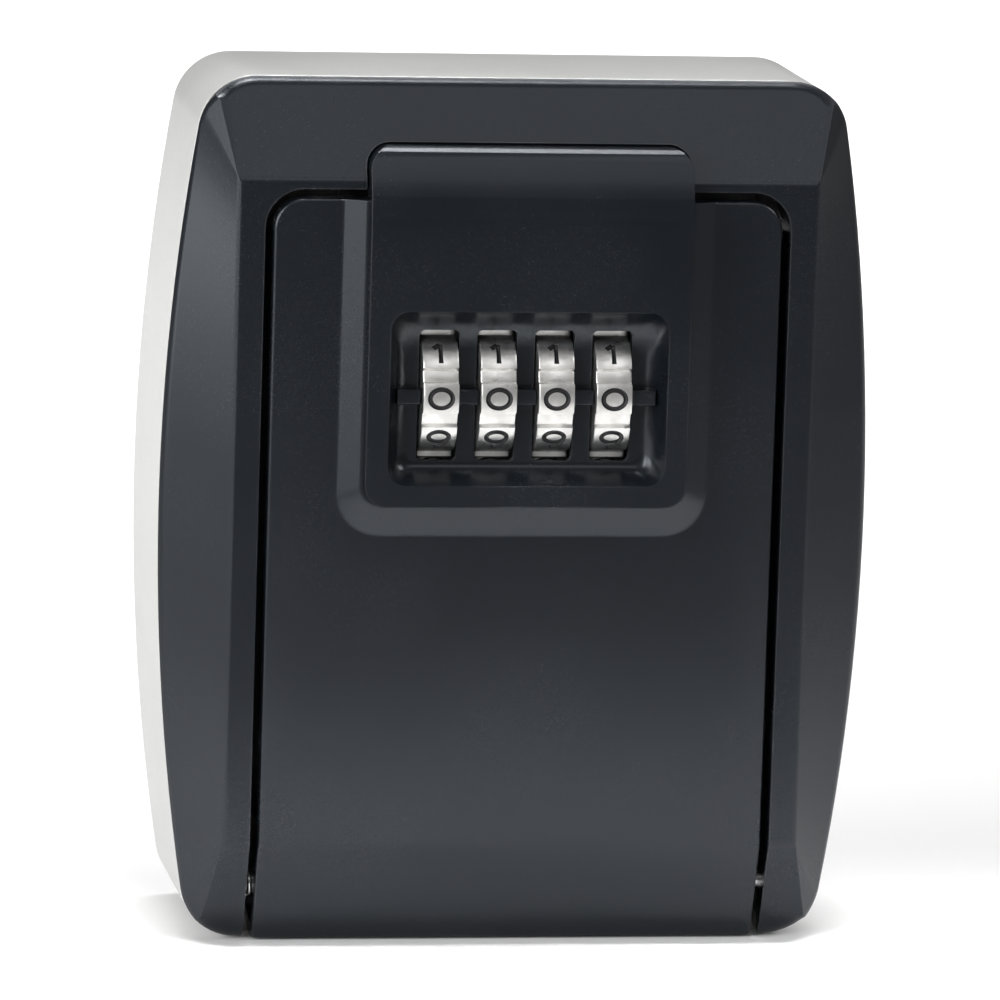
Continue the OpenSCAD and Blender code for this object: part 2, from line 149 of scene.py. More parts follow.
def rounded(wide, low, high, top_radius, foot_radius=0.0):
    """A rectangle about X = 0 with rounded corners, anticlockwise from the right-hand foot."""
    ring = []
    for side, end, radius, start in ((1, -1, foot_radius, -90), (1, 1, top_radius, 0),
                                     (-1, 1, top_radius, 90), (-1, -1, foot_radius, 180)):
        radius = max(radius, 0.02 * mm)
        for i in range(9):
            t = math.radians(start + 90 * i / 8)
            ring.append((side * (wide - radius) + radius * math.cos(t),
                         (high if end > 0 else low) - end * radius + radius * math.sin(t)))
    return ring


def edit(piece):
    """Opens a piece in edit mode with nothing selected."""
    bpy.ops.object.select_all(action="DESELECT")
    bpy.context.view_layer.objects.active = piece
    piece.select_set(True)
    bpy.ops.object.mode_set(mode="EDIT")
    bpy.ops.mesh.select_mode(type="FACE")
    bpy.ops.mesh.select_all(action="DESELECT")
    return bmesh.from_edit_mesh(piece.data)


def loft(name, rings):
    """A solid through rings of points, each at its depth: a short cylinder, extruded from ring to ring.
    A point may have a third number, which lifts it above its ring."""
    bpy.ops.object.select_all(action="DESELECT")
    count = len(rings[0][1])
    bpy.ops.mesh.primitive_cylinder_add(vertices=count, radius=1, depth=mm, rotation=(math.pi / 2, 0, 0))
    made = bpy.context.object
    made.name = made.data.name = name
    bpy.ops.object.transform_apply()
    mesh = edit(made)
    was = [(math.cos(t), math.sin(t)) for t in (math.pi / 2 + 2 * math.pi * i / count for i in range(count))]

    def settle(verts, was, depth, ring):
        for v in verts:
            i = min(range(count), key=lambda k: (v.co.x - was[k][0]) ** 2 + (v.co.z - was[k][1]) ** 2)
            v.co = (ring[i][0], -(depth if len(ring[i]) == 2 else depth + ring[i][2]), ring[i][1])

    settle([v for v in mesh.verts if v.co.y > 0], was, *rings[0])
    settle([v for v in mesh.verts if abs(v.co.y + mm / 2) < 1e-7], was, *rings[1])
    end = next(f for f in mesh.faces if len(f.verts) == count and abs(f.verts[0].co.y + rings[1][0]) < 1e-7)
    end.select_set(True)
    for (_, was), (depth, ring) in zip(rings[1:], rings[2:]):
        bmesh.update_edit_mesh(made.data)
        bpy.ops.mesh.extrude_region_move(TRANSFORM_OT_translate={"value": (0, 0, 0)})
        mesh = bmesh.from_edit_mesh(made.data)
        settle([v for v in mesh.verts if v.select], was, depth, ring)
    bmesh.update_edit_mesh(made.data)
    bpy.ops.object.mode_set(mode="OBJECT")
    return made


def block(name, x, depth, z):
    """A plain block from (x0, x1), (depth0, depth1) and (z0, z1), to cut or join with."""
    bpy.ops.object.select_all(action="DESELECT")
    bpy.ops.mesh.primitive_cube_add(size=1, location=((x[0] + x[1]) / 2, -(depth[0] + depth[1]) / 2, (z[0] + z[1]) / 2),
                                    scale=(x[1] - x[0], depth[1] - depth[0], z[1] - z[0]))
    bpy.context.object.name = name
    bpy.ops.object.transform_apply()
    return bpy.context.object


def rod(name, radius, depth, x, z, sides=48):
    """A round bar that points out of the wall, from one depth to another."""
    bpy.ops.object.select_all(action="DESELECT")
    bpy.ops.mesh.primitive_cylinder_add(vertices=sides, radius=radius, depth=depth[1] - depth[0],
                                        location=(x, -(depth[0] + depth[1]) / 2, z), rotation=(math.pi / 2, 0, 0))
    bpy.context.object.name = name
    bpy.ops.object.transform_apply()
    return bpy.context.object


def bar(name, radius, x, depth, z, sides=64):
    """A round bar across the box, from one x to another."""
    bpy.ops.object.select_all(action="DESELECT")
    bpy.ops.mesh.primitive_cylinder_add(vertices=sides, radius=radius, depth=x[1] - x[0],
                                        location=((x[0] + x[1]) / 2, -depth, z), rotation=(0, math.pi / 2, 0))
    bpy.context.object.name = name
    bpy.ops.object.transform_apply()
    return bpy.context.object


def work(piece, how, *tools):
    """Cuts the tools from a piece, joins them to it, or keeps what lies in them."""
    for tool in tools:
        bpy.ops.object.select_all(action="DESELECT")
        bpy.context.view_layer.objects.active = piece
        piece.select_set(True)
        step = piece.modifiers.new("work", "BOOLEAN")
        step.operation, step.solver, step.object = how, "EXACT", tool
        bpy.ops.object.modifier_apply(modifier=step.name)
        bpy.data.objects.remove(tool)
    return piece


def round_edges(piece, width, steps, wanted):
    """Rounds the edges that wanted() picks: it gets an edge's two ends and its faces' normals."""
    mesh = edit(piece)
    bpy.ops.mesh.select_mode(type="EDGE")
    found = 0
    for e in mesh.edges:
        if len(e.link_faces) == 2:
            a, b = (f.normal for f in e.link_faces)
            if a.angle(b, 0) > 0.2 and wanted(e.verts[0].co, e.verts[1].co, a, b):
                e.select_set(True)
                found += 1
    bmesh.update_edit_mesh(piece.data)
    if found:
        bpy.ops.mesh.bevel(offset=width, segments=steps, affect="EDGES", profile=0.5, clamp_overlap=True)
    bpy.ops.object.mode_set(mode="OBJECT")
    return piece


def complete(piece, finish, body, *nodes, angle=32):
    """Smooths a piece's rounded faces, gives it its finish, and puts it on its body in place of CAD nodes."""
    bpy.ops.object.select_all(action="DESELECT")
    bpy.context.view_layer.objects.active = piece
    piece.select_set(True)
    bpy.ops.object.shade_smooth_by_angle(angle=math.radians(angle))
    even = piece.modifiers.new("even", "WEIGHTED_NORMAL")
    even.keep_sharp = True
    bpy.ops.object.modifier_apply(modifier=even.name)
    piece.data.materials.clear()
    piece.data.materials.append(finish)
    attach(piece, body)
    if nodes:
        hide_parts(*nodes)
    return piece


class Value:
    """A shader socket that takes part in sums: each sum adds a Math node."""

    def __init__(self, tree, socket):
        self.tree, self.socket = tree, socket

    def node(self, kind, settings=None, out=0, **inputs):
        """Any node: its type, then its settings, then what goes into its sockets."""
        made = self.tree.nodes.new("ShaderNode" + kind)
        for name, value in (settings or {}).items():
            if name == "stops":
                ramp = made.color_ramp
                while len(ramp.elements) < len(value):
                    ramp.elements.new(0.5)
                for element, (at, shade) in zip(ramp.elements, value):
                    element.position = at
                    element.color = (shade, shade, shade, 1)
            else:
                setattr(made, name, value)
        for name, value in inputs.items():
            socket = made.inputs[int(name[1:]) if name[1:].isdigit() else name.replace("_", " ")]
            if isinstance(value, Value):
                self.tree.links.new(value.socket, socket)
            else:
                socket.default_value = value
        return Value(self.tree, made.outputs[out])

    def sums(self, operation, first, second):
        return self.node("Math", {"operation": operation}, i0=first, i1=second)

    def __add__(self, other):
        return self.sums("ADD", self, other)

    def __sub__(self, other):
        return self.sums("SUBTRACT", self, other)

    def __rsub__(self, other):
        return self.sums("SUBTRACT", other, self)

    def __mul__(self, other):
        return self.sums("MULTIPLY", self, other)

    __radd__, __rmul__ = __add__, __mul__

    def ramp(self, low, high):
        """0 up to low, 1 from high on."""
        return self.node("MapRange", {"interpolation_type": "SMOOTHSTEP"}, i0=self, i1=low, i2=high)

    def tint(self, first, second):
        """A colour between two others, by this value."""
        return self.node("Mix", {"data_type": "RGBA"}, out=2, i0=self, i6=(*first, 1) if isinstance(first, tuple) else first,
                         i7=(*second, 1) if isinstance(second, tuple) else second)


def finish_named(name):
    """An empty finish: its place on the piece, its shader, and a way to set the shader's sockets."""
    made = bpy.data.materials.new(name)
    made.use_nodes = True
    tree = made.node_tree
    shader = tree.nodes["Principled BSDF"]
    spot = Value(tree, None).node("TexCoord", out=3)

    def put(**sockets):
        for key, value in sockets.items():
            socket = shader.inputs[key.replace("_", " ")]
            if isinstance(value, Value):
                tree.links.new(value.socket, socket)
            else:
                socket.default_value = (*value, 1) if isinstance(value, tuple) else value

    return made, spot, put


def grain(spot, scale, detail=2.0, rough=0.5, stretch=None):
    """Noise over a piece, in lumps of about 1 / scale metres."""
    if stretch:
        spot = spot.node("Mapping", Vector=spot, Scale=stretch)
    return spot.node("TexNoise", Vector=spot, Scale=scale, Detail=detail, Roughness=rough)


silver_paint, spot, put = finish_named("silver_paint")
fine, broad = grain(spot, 2600), grain(spot, 35, 4.0)
put(Base_Color=(fine * 0.5 + broad * 0.5).ramp(0.3, 0.7).tint((0.45, 0.45, 0.44), (0.53, 0.53, 0.52)),
    Metallic=0.25, Roughness=fine * 0.12 + broad * 0.1 + 0.34, Coat_Weight=0.15, Coat_Roughness=0.25)
put(Normal=spot.node("Bump", Strength=0.35, Distance=0.05 * mm, Height=fine + broad * 0.4))

rear_case = loft("rear_case_shell", [
    (0, outline(0.8 * mm)), (0.12 * mm, outline(0.4 * mm)), (0.4 * mm, outline(0.12 * mm)), (0.8 * mm, outline(0)),
    (case_deep - 0.1 * mm, outline(0)), (case_deep, outline(0.1 * mm)), (case_deep, outline(case_wall)),
    (case_floor + 0.6 * mm, outline(case_wall)), (case_floor, outline(case_wall + 0.6 * mm))])
work(rear_case, "UNION", *[rod("column", 3.5 * mm, (case_floor - mm, 26.4 * mm), x, z) for x, z in columns])
work(rear_case, "DIFFERENCE", *[rod("hole", 1.6 * mm, (-mm, 30 * mm), x, z) for x, z in columns])
work(rear_case, "DIFFERENCE", *[rod("counterbore", 3 * mm, (-mm, 2.1 * mm), x, z) for x, z in columns])
work(rear_case, "DIFFERENCE", *[rod("wall_hole", 2.75 * mm, (-mm, 5 * mm), x, z) for x, z in wall_holes])
work(rear_case, "DIFFERENCE", bar("hinge_room", 8.1 * mm, (-36.6 * mm, 36.6 * mm), -pin_at.y, pin_at.z))
round_edges(rear_case, 0.3 * mm, 2, lambda a, b, m, n: abs(a.y) < 1e-6 and abs(b.y) < 1e-6 and min(m.y, n.y) < 0.2)
complete(rear_case, silver_paint, "case", "rear_case")

# ---- Keeper plate and its screws ------------------------------------------------------------
# A folded zinc-plated strip screwed up under the case's top wall. The latch bar's nose rises
# behind its front flange and holds the door shut.
zinc_plate, spot, put = finish_named("zinc_plate")
streak, broad = grain(spot, 900, stretch=(0.15, 1, 1)), grain(spot, 120, 3.0)
put(Base_Color=broad.ramp(0.3, 0.7).tint((0.56, 0.57, 0.58), (0.68, 0.68, 0.67)), Metallic=1.0,
    Roughness=streak * 0.16 + broad * 0.12 + 0.22)
put(Normal=spot.node("Bump", Strength=0.3, Distance=0.04 * mm, Height=streak))
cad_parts["keeper_plate"].data.materials.clear()
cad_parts["keeper_plate"].data.materials.append(zinc_plate)

screw_steel, spot, put = finish_named("screw_steel")
turned = grain(spot, 2200, 2.0)
put(Base_Color=turned.ramp(0.3, 0.7).tint((0.42, 0.42, 0.43), (0.52, 0.52, 0.52)), Metallic=1.0,
    Roughness=turned * 0.2 + 0.22)
put(Normal=spot.node("Bump", Strength=0.25, Distance=0.03 * mm, Height=turned))


def screw(name, head, thick, shank, length, place, aim):
    """A pan-head screw with a cross recess, its head's underside at place and its shank along aim."""
    made = rod(name, head, (0, thick), 0, 0, 40)
    round_edges(made, thick * 0.45, 4, lambda a, b, m, n: a.y < -thick * 0.9 and b.y < -thick * 0.9)
    cross = [block("cross", (-head * 0.5, head * 0.5), (thick * 0.45, thick * 2), (-head * 0.11, head * 0.11)),
             block("cross", (-head * 0.11, head * 0.11), (thick * 0.45, thick * 2), (-head * 0.5, head * 0.5))]
    work(made, "DIFFERENCE", *cross)
    work(made, "UNION", rod("shank", shank, (-length, 0.1 * mm), 0, 0, 24))
    swing = Vector((0, 1, 0)).rotation_difference(Vector(aim)).to_matrix().to_4x4()
    made.data.transform(Matrix.Translation(place) @ swing)
    return made


def joined(pieces, name):
    """Several solids as one piece."""
    bpy.ops.object.select_all(action="DESELECT")
    for piece in pieces:
        piece.select_set(True)
    bpy.context.view_layer.objects.active = pieces[0]
    bpy.ops.object.join()
    pieces[0].name = pieces[0].data.name = name
    return pieces[0]


keeper_low, keeper_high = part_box("keeper_screws")
keeper_screws = joined([screw("screw", 2.3 * mm, 1.4 * mm, 1.2 * mm, keeper_high.z - keeper_low.z - 1.4 * mm,
                              (x, (keeper_low.y + keeper_high.y) / 2, keeper_low.z + 1.4 * mm), (0, 0, 1))
                        for x in (-9 * mm, 9 * mm)], "keeper_screw_pair")
complete(keeper_screws, screw_steel, "case", "keeper_screws")

# ---- Front frame ----------------------------------------------------------------------------
# A black die-cast border with a rounded rim, four slopes with crisp creases and a narrow flat
# face round the opening. It is powder coated, so its finish is satin with a very fine skin.
frame_low, frame_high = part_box("front_frame")
face_deep = -frame_low.y
face_x, face_top, face_foot = 40 * mm, 46.4 * mm, -46 * mm
rim_deep = 30.8 * mm
open_x, open_top, open_round = 36.4 * mm, 45.3 * mm, 5.3 * mm
door_low, door_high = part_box("door_panel")

satin_black, spot, put = finish_named("satin_black")
skin, cloud, dust = grain(spot, 3200, 3.0, 0.6), grain(spot, 45, 4.0), grain(spot, 5200, 1.0)
edge = spot.node("Bevel", {"samples": 4}, Radius=0.35 * mm)
plain = spot.node("NewGeometry", out=1)
bend = 1 - spot.node("VectorMath", {"operation": "DOT_PRODUCT"}, out=1, i0=edge, i1=plain)
# Edges are painted a lighter grey in patches. This is partly wear on the coat and partly a painted highlight that
# stands in for light catching the edges.
edge_wear_and_highlight = bend.ramp(0.02, 0.25) * cloud.ramp(0.35, 0.65)
specks = dust.ramp(0.70, 0.78) * cloud.ramp(0.4, 0.6)
black = cloud.ramp(0.3, 0.7).tint((0.0030, 0.0042, 0.0062), (0.0050, 0.0064, 0.0088))
put(Base_Color=(edge_wear_and_highlight * 0.5 + specks * 0.6).tint(black, (0.10, 0.103, 0.108)),
    Roughness=skin * 0.06 + cloud * 0.06 + 0.20, Specular_IOR_Level=0.42, Specular_Tint=(0.88, 0.93, 1.0))
put(Normal=spot.node("Bump", Strength=0.2, Distance=0.03 * mm, Height=skin + specks * 0.6))


def face_ring(grow):
    """The flat face's edge, grown outwards by grow, in step with the outline: its corners take a whole arc each."""
    ring = []
    lift = case_top - case_corner + 1.3 * mm
    for x, z in outline(0):
        top = face_top if z > 0 else -face_foot
        along = min(1.0, abs(z) / lift)
        small = 0.02 * mm * (abs(z) - lift) / mm if abs(z) > lift else 0.0
        ring.append((math.copysign(face_x + grow - small, x), math.copysign((top + grow * 1.4) * along + small, z)))
    return ring


def rim_ring(radius, part):
    """The rim: each point lies part of the way round an arc, from the side wall to the slope over it."""
    ring = []
    for (x, z), (inner_x, inner_z) in zip(outline(0), outline(mm)):
        out_x, out_z = (x - inner_x) / mm, (z - inner_z) / mm
        bend_z = case_top - 6.7 * mm
        turn = math.asin(min(abs(z), bend_z) / case_bulge)
        wide = case_wide - case_bulge + case_bulge * math.cos(turn) - 0.8 * mm - face_x
        top = face_top if z > 0 else -face_foot
        high = case_top - 0.8 * mm - top
        side_x, side_z = (1, 0) if abs(z) <= bend_z else (math.cos(turn), math.sin(turn))
        reach = wide * side_x + (bend_z - top) * side_z
        slopes = [(((abs(x) - face_x) * side_x + (abs(z) - top) * side_z) / reach,
                   (abs(out_x) * side_x + abs(out_z) * side_z) / reach),
                  ((abs(z) - top) / high, abs(out_z) / high)]
        fall, steep = ((face_deep - rim_deep) * s for s in max(slopes))
        start, end = math.radians(28), math.pi / 2 - math.atan(steep)
        t = start + part * (end - start)
        inset = radius * (math.cos(start) - math.cos(t))
        drop = radius * (math.sin(end) - math.sin(t) - steep * (math.cos(start) - math.cos(end)))
        ring.append((x - out_x * inset, z - out_z * inset, face_deep - fall - drop - rim_deep))
    return ring


def border(inset, name):
    """The border's outer form, set in by inset: rim, fillet, two pairs of slopes and the flat face."""
    if inset:
        return loft(name, [(28 * mm, outline(inset)), (rim_deep - inset * 0.9, outline(inset)),
                           (face_deep - inset, face_ring(-inset * 0.6))])
    rings = [(case_deep + 0.12 * mm, outline(0.45 * mm)), (case_deep + 0.42 * mm, outline(0.06 * mm))]
    rings += [(rim_deep, rim_ring(2.6 * mm, i / 6)) for i in range(7)]
    rings += [(face_deep - (1 - s) ** 2 * 0.45 * mm, face_ring(0.45 * mm * ((1 - s) ** 2 - s * s)))
              for s in (0, 0.25, 0.5, 0.75, 1)]
    return loft(name, rings)


def opening(grow, name, low=-70 * mm):
    """A prism that fills the door's opening, grown by grow."""
    ring = rounded(open_x + grow, low, open_top + grow, open_round + grow)
    return loft(name, [(20 * mm, ring), (50 * mm, ring)])


front_frame = border(0, "front_border")
hollow = border(2.4 * mm, "hollow")
work(hollow, "DIFFERENCE", opening(1.8 * mm, "returns"),
     *[rod("boss", 3.3 * mm, (20 * mm, 40 * mm), x, z) for x, z in columns])
work(front_frame, "DIFFERENCE", hollow, opening(0, "opening"))
tab_low, tab_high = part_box("lock_face")
pocket = loft("pocket", [(y, rounded(tab_high.x + 0.3 * mm, 40 * mm, tab_high.z + 0.3 * mm, 3.3 * mm))
                         for y in (31 * mm, 45 * mm)])
wedge = block("wedge", (-30 * mm, 30 * mm), (20 * mm, 33.9 * mm), (30 * mm, 60 * mm))
mesh = edit(wedge)
for v in mesh.verts:
    if v.co.y < -30 * mm:
        v.co.y = -(34.4 * mm if v.co.z < 40 * mm else 30.4 * mm)
bmesh.update_edit_mesh(wedge.data)
bpy.ops.object.mode_set(mode="OBJECT")
work(pocket, "DIFFERENCE", wedge)
work(front_frame, "DIFFERENCE", pocket)


def on_opening(p):
    x, z = abs(p.x), p.z
    if z < open_top - open_round:
        return abs(x - open_x) < 0.01 * mm
    if x < open_x - open_round:
        return abs(z - open_top) < 0.01 * mm
    return abs(math.hypot(x - open_x + open_round, z - open_top + open_round) - open_round) < 0.06 * mm


round_edges(front_frame, 0.8 * mm, 4, lambda a, b, m, n: on_opening(a) and on_opening(b)
            and a.y < -30.5 * mm and b.y < -30.5 * mm and min(m.y, n.y) < -0.6 and max(m.y, n.y) > -0.2
            and (a.z < face_top or abs(a.x) > 23 * mm))
complete(front_frame, satin_black, "case", "front_frame", angle=24)

# ---- Frame screws ---------------------------------------------------------------------------
# Four long steel screws that go in from the back, through the case's posts, into the border.
screws_low, screws_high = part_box("frame_screws")
frame_screws = joined([screw("screw", 2.7 * mm, 1.8 * mm, 1.45 * mm, -screws_low.y - 2.1 * mm,
                             (x, -2.1 * mm, z), (0, -1, 0)) for x, z in columns], "frame_screw_set")
complete(frame_screws, screw_steel, "case", "frame_screws")

# ---- Hinge pin and door spring --------------------------------------------------------------
# A ground steel pin across the foot of the opening, and a little torsion spring of bright wire
# wound round its left end. The spring's leg stands up behind the door and pushes it open.
ground_steel, spot, put = finish_named("ground_steel")
lines = grain(spot, 1500, 2.0, stretch=(6, 1, 1))
put(Base_Color=(0.66, 0.66, 0.67), Metallic=1.0, Roughness=lines * 0.18 + 0.10)
put(Normal=spot.node("Bump", Strength=0.2, Distance=0.02 * mm, Height=lines))

hinge_pin = bar("hinge_rod", (pin_high.z - pin_low.z) / 2, (pin_low.x, pin_high.x), -pin_at.y, pin_at.z, 40)
round_edges(hinge_pin, 0.3 * mm, 3, lambda a, b, m, n: max(abs(m.x), abs(n.x)) > 0.9)
complete(hinge_pin, ground_steel, "case", "hinge_pin")


def coil(name, wire, radius, turns, pitch, place, along):
    """A wound spring: one ring of wire, swept round and along by a Screw modifier."""
    bpy.ops.object.select_all(action="DESELECT")
    bpy.ops.mesh.primitive_circle_add(vertices=10, radius=wire, location=(radius, 0, 0), rotation=(math.pi / 2, 0, 0))
    made = bpy.context.object
    made.name = made.data.name = name
    bpy.ops.object.transform_apply()
    wind = made.modifiers.new("wind", "SCREW")
    wind.axis, wind.steps, wind.render_steps = "Z", 28, 28
    wind.screw_offset, wind.iterations = pitch, turns
    bpy.ops.object.modifier_apply(modifier=wind.name)
    mesh = edit(made)
    bpy.ops.mesh.select_mode(type="EDGE")
    bpy.ops.mesh.select_non_manifold()
    bpy.ops.mesh.edge_face_add()
    bpy.ops.mesh.select_mode(type="EDGE")
    bpy.ops.mesh.select_all(action="DESELECT")
    bpy.ops.mesh.select_non_manifold()
    bpy.ops.mesh.fill_holes(sides=12)
    bpy.ops.mesh.select_all(action="SELECT")
    bpy.ops.mesh.normals_make_consistent(inside=False)
    bpy.ops.object.mode_set(mode="OBJECT")
    swing = Vector((0, 0, 1)).rotation_difference(Vector(along)).to_matrix().to_4x4()
    made.data.transform(Matrix.Translation(place) @ swing)
    return made


spring_low, spring_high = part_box("door_spring")
winding = coil("winding", 0.24 * mm, 1.85 * mm, 5, 0.46 * mm,
               (spring_low.x + 0.26 * mm, pin_at.y, pin_at.z), (1, 0, 0))
bpy.ops.object.select_all(action="DESELECT")
bpy.ops.mesh.primitive_cylinder_add(vertices=10, radius=0.24 * mm, depth=6.2 * mm,
                                    location=(spring_high.x - 0.26 * mm, pin_at.y + 1.85 * mm, pin_at.z + 3.0 * mm))
bpy.ops.object.transform_apply()
door_spring = joined([winding, bpy.context.object], "torsion_spring")
complete(door_spring, ground_steel, "case", "door_spring")

# ---- Door panel -----------------------------------------------------------------------------
# A die-cast plate that drops open on the pin. A raised bevel runs round the lock in a U, the
# plate's foot slopes back, and a rolled hem under the hinge closes the gap to the case.
door_x, door_top, door_round = door_high.x, door_high.z, 4.2 * mm
door_thick = 2.2 * mm
door_back = face_deep - door_thick
bevel_x, bevel_in, bevel_foot, bevel_deep = 25.8 * mm, 22.6 * mm, -2.4 * mm, 37.6 * mm

door_panel = block("door_plate", (-door_x, door_x), (door_back, face_deep), (face_foot, door_top))
mesh = edit(door_panel)
bpy.ops.mesh.select_mode(type="EDGE")
for e in mesh.edges:
    a, b = e.verts
    if a.co.z > 0 and b.co.z > 0 and abs(a.co.x - b.co.x) < mm and abs(a.co.y - b.co.y) > mm:
        e.select_set(True)
bmesh.update_edit_mesh(door_panel.data)
bpy.ops.mesh.bevel(offset=door_round, segments=8, affect="EDGES", profile=0.5)
bpy.ops.mesh.select_mode(type="FACE")
bpy.ops.mesh.select_all(action="DESELECT")
mesh = bmesh.from_edit_mesh(door_panel.data)
for f in mesh.faces:
    f.select_set(f.normal.z < -0.9)
for front, front_z, back, back_z in ((31.25 * mm, -59.6 * mm, 30.0 * mm, -57.7 * mm),
                                     (30.9 * mm, -60 * mm, 29.9 * mm, -58.1 * mm),
                                     (-pin_at.y, -60 * mm, -pin_at.y, -58.2 * mm)):
    bmesh.update_edit_mesh(door_panel.data)
    bpy.ops.mesh.extrude_region_move(TRANSFORM_OT_translate={"value": (0, 0, -0.01 * mm)})
    mesh = bmesh.from_edit_mesh(door_panel.data)
    moved = sorted((v for v in mesh.verts if v.select), key=lambda v: (v.co.y, v.co.z))
    for v in moved[:2]:
        v.co.y, v.co.z = -front, front_z
    for v in moved[2:]:
        v.co.y, v.co.z = -back, back_z
    if front == back:
        for v in moved:
            v.co.z = front_z if moved.index(v) < 2 else back_z
bmesh.update_edit_mesh(door_panel.data)
bpy.ops.mesh.spin(steps=8, angle=math.radians(-45), center=(0, pin_at.y, pin_at.z), axis=(1, 0, 0))
bpy.ops.object.mode_set(mode="OBJECT")
round_edges(door_panel, 0.6 * mm, 4, lambda a, b, m, n: a.y < -face_deep + 0.01 * mm and b.y < -face_deep + 0.01 * mm
            and min(m.y, n.y) < -0.9 and min(m.z, n.z) > -0.1 and max(m.y, n.y) > -0.3)
round_edges(door_panel, 0.5 * mm, 3, lambda a, b, m, n: a.z < face_foot and b.z < face_foot and abs(a.x - b.x) < mm
            and min(m.y, n.y) < -0.3 and max(abs(m.x), abs(n.x)) > 0.9 and min(a.y, b.y) < -30.5 * mm)

bevel = loft("bevel", [(face_deep - mm, rounded(bevel_x, bevel_foot, 60 * mm, mm, 6 * mm)),
                       (face_deep, rounded(bevel_x, bevel_foot, 60 * mm, mm, 6 * mm)),
                       (bevel_deep, rounded(bevel_in, bevel_foot + 4.1 * mm, 60 * mm, mm, 2.8 * mm))])
round_edges(bevel, 0.35 * mm, 2, lambda a, b, m, n: a.y < -bevel_deep + 0.01 * mm and b.y < -bevel_deep + 0.01 * mm)
work(bevel, "DIFFERENCE", block("above", (-40 * mm, 40 * mm), (20 * mm, 50 * mm), (door_top - 0.15 * mm, 80 * mm)))
work(door_panel, "UNION", bevel)
round_edges(door_panel, 0.35 * mm, 2, lambda a, b, m, n: abs(a.y + face_deep) < 0.01 * mm and abs(b.y + face_deep) < 0.01 * mm
            and max(abs(a.x), abs(b.x)) < bevel_x + 0.1 * mm and min(a.z, b.z) > bevel_foot - 0.1 * mm
            and min(m.y, n.y) < -0.95 and max(m.y, n.y) < -0.2)
for side in (-1, 1):
    edge_x = sorted((side * door_x, side * (door_x - 1.9 * mm)))
    work(door_panel, "UNION", block("flange", edge_x, (27 * mm, door_back + 0.4 * mm), (-43 * mm, 39 * mm)))
for start in (-33 * mm, 25 * mm):
    work(door_panel, "UNION", bar("knuckle", 2.5 * mm, (start, start + 8 * mm), -pin_at.y, pin_at.z, 40),
         block("web", (start, start + 8 * mm), (-pin_at.y, 32.6 * mm), (pin_at.z - 1.6 * mm, pin_at.z + 2.2 * mm)))
work(door_panel, "DIFFERENCE", bar("pin_bore", 1.3 * mm, (-36 * mm, 36 * mm), -pin_at.y, pin_at.z, 40),
     bar("spring_room", 2.5 * mm, (-36 * mm, -33 * mm), -pin_at.y, pin_at.z, 40))
window = loft("window", [(y, rounded(20.9 * mm, 4.2 * mm, 41.6 * mm, mm, mm)) for y in (20 * mm, 50 * mm)])
work(door_panel, "DIFFERENCE", window)
complete(door_panel, satin_black, "door", "door_panel", angle=24)

# ---- Lock face ------------------------------------------------------------------------------
# The black tab on the door: a flat plate whose top leans back over the border and is pulled to
# open the door, with a scooped recess, four slots for the wheels and an index rib across them.
tab_x, tab_foot, tab_top, tab_deep = tab_high.x, tab_low.z - mm, tab_high.z, -tab_low.y
lip_z = 41.0 * mm
wheel_places = [(sum(c.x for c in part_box(f"number_wheel_{i}")) / 2) for i in (1, 2, 3, 4)]
axle_low, axle_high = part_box("wheel_shaft")
axle_y, axle_z = (axle_low.y + axle_high.y) / 2, (axle_low.z + axle_high.z) / 2

lock_face = block("lock_tab", (-tab_x, tab_x), (bevel_deep, tab_deep), (tab_foot, lip_z))
mesh = edit(lock_face)
for f in mesh.faces:
    f.select_set(f.normal.z > 0.9)
for front, front_z, back, back_z in ((39.17 * mm, 42.2 * mm, bevel_deep, 42.2 * mm), (39.06 * mm, 43.4 * mm, bevel_deep, 43.4 * mm),
                                     (38.84 * mm, 44.6 * mm, bevel_deep, 44.4 * mm), (38.80 * mm, 44.8 * mm, 34.8 * mm, 44.4 * mm),
                                     (38.50 * mm, 45.9 * mm, 34.8 * mm, 46.2 * mm), (38.12 * mm, 47.1 * mm, 34.6 * mm, 47.1 * mm),
                                     (37.15 * mm, 49.8 * mm, 33.5 * mm, 49.8 * mm),
                                     (36.75 * mm, 50.6 * mm, 33.2 * mm, 50.6 * mm), (36.2 * mm, 51.1 * mm, 33.1 * mm, 51.0 * mm),
                                     (35.5 * mm, tab_top, 33 * mm, tab_top)):
    bmesh.update_edit_mesh(lock_face.data)
    bpy.ops.mesh.extrude_region_move(TRANSFORM_OT_translate={"value": (0, 0, 0.01 * mm)})
    mesh = bmesh.from_edit_mesh(lock_face.data)
    moved = sorted((v for v in mesh.verts if v.select), key=lambda v: v.co.y)
    for v in moved[:2]:
        v.co.y, v.co.z = -front, front_z
    for v in moved[2:]:
        v.co.y, v.co.z = -back, back_z
bmesh.update_edit_mesh(lock_face.data)
bpy.ops.object.mode_set(mode="OBJECT")
sides = rounded(tab_x, tab_foot, tab_top, 3.0 * mm, 3.0 * mm)
work(lock_face, "INTERSECT", loft("corners", [(20 * mm, sides), (50 * mm, sides)]))
round_edges(lock_face, 0.5 * mm, 3, lambda a, b, m, n: min(m.y, n.y) < -0.75 and max(m.y, n.y) > -0.3
            and min(a.y, b.y) < -34 * mm and max(a.y, b.y) < -35.8 * mm)

recess_x, recess_foot, recess_top, recess_deep = 18.9 * mm, 5.2 * mm, 28.7 * mm, 35.6 * mm


def filled(ring, steps):
    """A rounded rectangle with more points along its straight sides."""
    more = []
    for i, (x, z) in enumerate(ring):
        more.append((x, z))
        if i % 9 == 8:
            end_x, end_z = ring[(i + 1) % len(ring)]
            more += [(x + (end_x - x) * k / steps, z + (end_z - z) * k / steps) for k in range(1, steps)]
    return more


